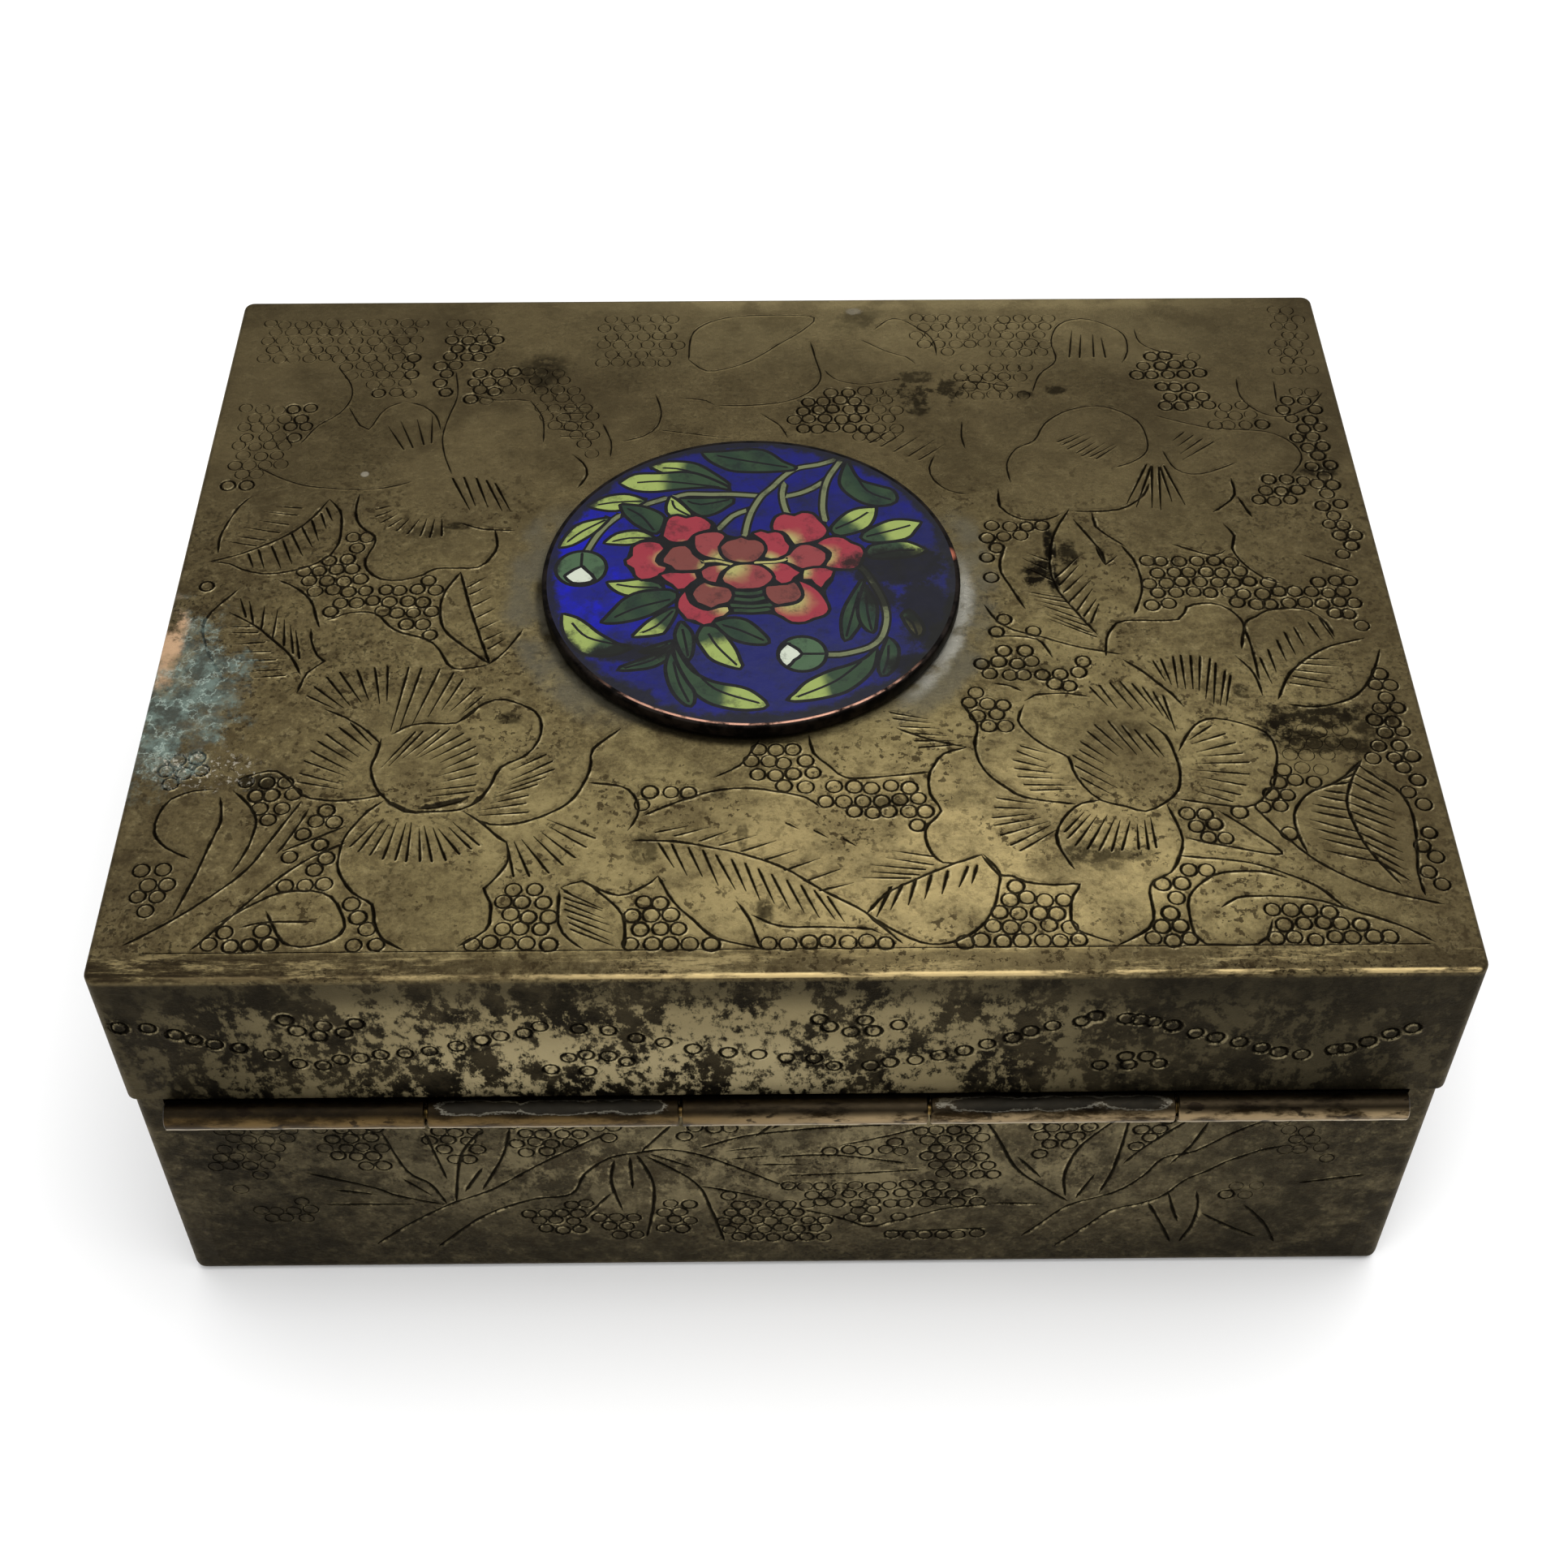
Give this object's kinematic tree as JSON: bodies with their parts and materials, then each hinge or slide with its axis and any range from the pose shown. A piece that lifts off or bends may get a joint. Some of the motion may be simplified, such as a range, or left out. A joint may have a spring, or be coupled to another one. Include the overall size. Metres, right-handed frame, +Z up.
{
  "type": "brass cigarette box",
  "caption": "Low brass cigarette box with a chased, hinged lid, a round cloisonne enamel medallion on top and a long tube hinge along the back.",
  "frame": {"origin": "centre of the underside of the base", "axes": "+X along the long side, +Y from the hinge side to the opening front, +Z up"},
  "size_m": [0.121, 0.098, 0.0516],
  "materials": {
    "base_brass": "satin, dark brown patina",
    "lid_brass": "satin, olive brown patina, chased",
    "tube_brass": "worn, dark above and bright below",
    "pin_brass": "drawn wire, dull",
    "rim_copper": "copper, oxidised black, bright on the near rim",
    "enamel": "glossy cobalt blue cloisonne enamel"
  },
  "bodies": {
    "box": {"base_box": "base_brass", "hinge_knuckle_1": "tube_brass", "hinge_knuckle_3": "tube_brass", "hinge_knuckle_5": "tube_brass", "hinge_pin": "pin_brass"},
    "lid": {"lid": "lid_brass", "hinge_knuckle_2": "tube_brass", "hinge_knuckle_4": "tube_brass", "medallion_plate": "rim_copper", "medallion_enamel": "enamel"}
  },
  "joints": [
    {"name": "lid_hinge", "type": "hinge", "parent": "box", "child": "lid", "pos_m": [0, -0.0486, 0.02985], "axis": [1, 0, 0], "range_deg": [0, 180]}
  ]
}
